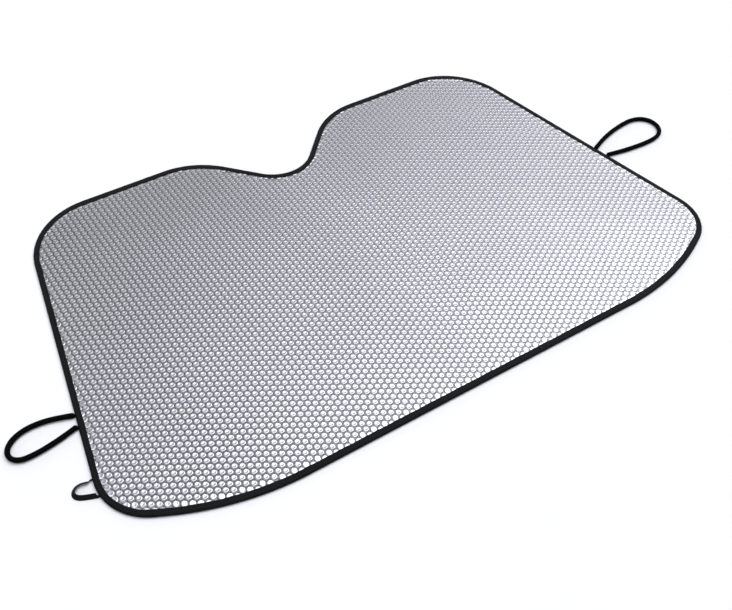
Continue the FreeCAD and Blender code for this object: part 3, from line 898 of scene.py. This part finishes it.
def back_film(border, faces):
    """Back foil with the faint round print of the bubbles."""
    xy, tris, quads = lattice_surface([5.2, 3.6], LAYER_INSET)
    inset = inset_of(xy)
    _, r = nearest_centre(xy)
    print_depth = np.interp(r, [0, 3.6, 5.2, 9], [0.30, 0.34, 0.02, 0.0]) * smooth((inset - 11) / 8)
    low = at_height(xy, BACK_BOTTOM + 0.02 - print_depth + lift(xy, inset))
    top = at_height(border, CORE_BOTTOM - 0.02 + lift(border, inset_of(border)))
    obj = closed_layer("back_film", (top, faces, NO_QUADS), (low, tris, quads), back_material())
    both_panels(obj, "back_foil", "back_film")
    return obj


FLAT = plain_surface(LAYER_INSET)
film = face_film(*FLAT)
foam_core(*FLAT)
back = back_film(*FLAT)

# ---------------------------------------------------------------- studio

FLOOR_HALF = 20.0       # m
FLOOR_DROP = 0.0002     # keeps the floor clear of what lies on it, m


def studio_floor():
    m = Nodes("studio_floor")
    m.set(
        Base_Color=m.ramp(m.noise(2.0), [(0.3, (0.90, 0.90, 0.90)), (0.7, (0.92, 0.92, 0.92))]),
        Roughness=m.map_range(m.noise(40.0), 0.8, 0.9),
        Specular_IOR_Level=0.1,
    )
    mesh = bpy.data.meshes.new("studio_floor")
    b = bmesh.new()
    bmesh.ops.create_grid(b, x_segments=8, y_segments=8, size=FLOOR_HALF)
    b.to_mesh(mesh)
    b.free()
    mesh.materials.append(m.material)
    floor = bpy.data.objects.new("studio_floor", mesh)
    floor.location = (0, 0.38, -FLOOR_DROP)
    scene.collection.objects.link(floor)


def softbox(name, place, aim, size, power):
    data = bpy.data.lights.new(name, "AREA")
    data.shape = "RECTANGLE"
    data.size, data.size_y = size
    data.energy = power
    lamp = bpy.data.objects.new(name, data)
    lamp.location = place
    lamp.rotation_mode = "QUATERNION"
    lamp.rotation_quaternion = (Vector(aim) - Vector(place)).to_track_quat("-Z", "Y")
    scene.collection.objects.link(lamp)


# Soft lights round the object, fitted to the photo's brightness: azimuth and elevation in degrees, how
# narrow each one is, and its colour. The last is a dark flag: it takes light away, which gives the
# bubbles a shaded side.
SOFT_LIGHTS = [
    (45, 8, 14, (0.27, 0.27, 0.27)),
    (90, 8, 14, (0.72, 0.72, 0.72)),
    (164, 32, 14, (0.13, 0.13, 0.18)),
    (216, 32, 14, (0.42, 0.42, 0.45)),
    (0, 56, 14, (1.08, 1.08, 1.08)),
    (180, 56, 14, (0.27, 0.28, 0.33)),
    (30, 80, 14, (1.90, 1.93, 2.13)),
    (210, 80, 14, (0.64, 0.65, 0.73)),
    (20, 30, 70, (0.73, 0.73, 0.76)),
    (20, 42, 70, (1.42, 1.42, 1.48)),
    (40, 42, 70, (0.10, 0.09, 0.22)),
    (0, 54, 70, (0.54, 0.54, 0.56)),
    (22, 54, 70, (1.83, 1.82, 1.90)),
    (44, 54, 70, (1.08, 1.07, 1.24)),
    (0, 66, 70, (0.57, 0.57, 0.60)),
    (30, 66, 70, (1.51, 1.51, 1.59)),
    (60, 66, 70, (0.86, 0.88, 1.01)),
    (78, 10, 70, (0.80, 0.80, 0.80)),
    (104, 16, 70, (0.80, 0.80, 0.80)),
    (308, 12, 5, (-0.37, -0.37, -0.37)),
]
ROOM = (0.42, 0.42, 0.42)      # even light from all round


def studio_world():
    """An even pale surround with soft lights in it, brightest overhead and to the right of the sheet."""
    world = bpy.data.worlds.new("studio")
    scene.world = world
    world.use_nodes = True
    tree = world.node_tree

    def node(kind, operation, first, second):
        """A node of two inputs, each a socket to link or a constant."""
        made = tree.nodes.new(kind)
        made.operation = operation
        second_input = made.inputs["Scale"] if operation == "SCALE" else made.inputs[1]
        for socket, value in ((made.inputs[0], first), (second_input, second)):
            if isinstance(value, bpy.types.NodeSocket):
                tree.links.new(value, socket)
            else:
                socket.default_value = value
        return made.outputs["Value"] if operation == "DOT_PRODUCT" else made.outputs[0]

    direction = tree.nodes.new("ShaderNodeTexCoord").outputs["Generated"]
    total = ROOM
    for azimuth, elevation, narrow, colour in SOFT_LIGHTS:
        a, e = math.radians(azimuth), math.radians(elevation)
        toward = (math.cos(a) * math.cos(e), math.sin(a) * math.cos(e), math.sin(e))
        facing = node("ShaderNodeVectorMath", "DOT_PRODUCT", direction, toward)
        facing = node("ShaderNodeMath", "MAXIMUM", facing, 0.0)
        power = node("ShaderNodeMath", "POWER", facing, narrow)
        glow = node("ShaderNodeVectorMath", "SCALE", colour, power)
        total = node("ShaderNodeVectorMath", "ADD", total, glow)
    tree.links.new(total, tree.nodes["Background"].inputs["Color"])
    tree.nodes["Background"].inputs["Strength"].default_value = 1.0


studio_floor()
studio_world()
softbox("key", (-1.2, 3.6, 2.2), (0, 0.4, 0), (2.6, 1.4), 3)
scene.view_settings.view_transform = "Standard"
